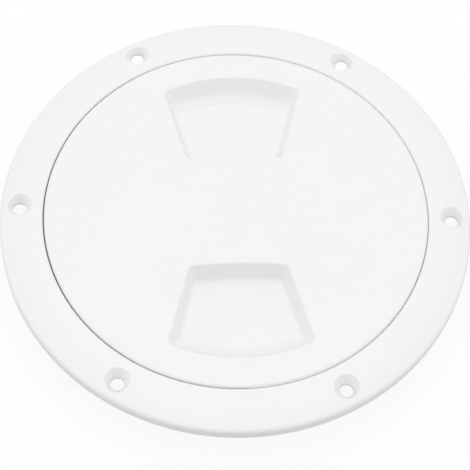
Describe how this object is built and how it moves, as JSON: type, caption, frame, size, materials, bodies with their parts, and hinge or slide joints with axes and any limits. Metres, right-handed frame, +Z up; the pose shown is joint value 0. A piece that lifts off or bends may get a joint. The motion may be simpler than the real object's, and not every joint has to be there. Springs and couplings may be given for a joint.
{
  "type": "deck inspection plate",
  "caption": "Round deck inspection plate: a screw-down ring with a low domed flange and a screw-out lid with sunk finger recesses, sealed by a rubber ring.",
  "frame": {"origin": "centre of the ring, on the plane of the deck that the flange's rim stands on", "axes": "+Z up out of the deck along the lid's axis of turn; +X through the middle of a screw hole; the finger recesses lie along Y"},
  "size_m": [0.203, 0.203, 0.0273],
  "materials": {
    "ring_plastic": "satin moulded white",
    "lid_plastic": "satin moulded white",
    "seal_rubber": "matte black"
  },
  "bodies": {
    "flange": {"flange_ring": "ring_plastic"},
    "seal": {"o_ring": "seal_rubber"},
    "lid": {"lid": "lid_plastic"}
  },
  "joints": [
    {"name": "lid_lift", "type": "slide", "parent": "flange", "child": "seal", "axis": [0, 0, 1], "range_m": [0, 0.01]},
    {"name": "lid_turn", "type": "hinge", "parent": "seal", "child": "lid", "pos_m": [0.00017, 0.00014, 0], "axis": [0, 0, 1], "range_deg": [0, 720]}
  ],
  "couplings": [
    {"joint": "lid_lift", "follows": "lid_turn", "m_per_rad": 0.00079577}
  ]
}
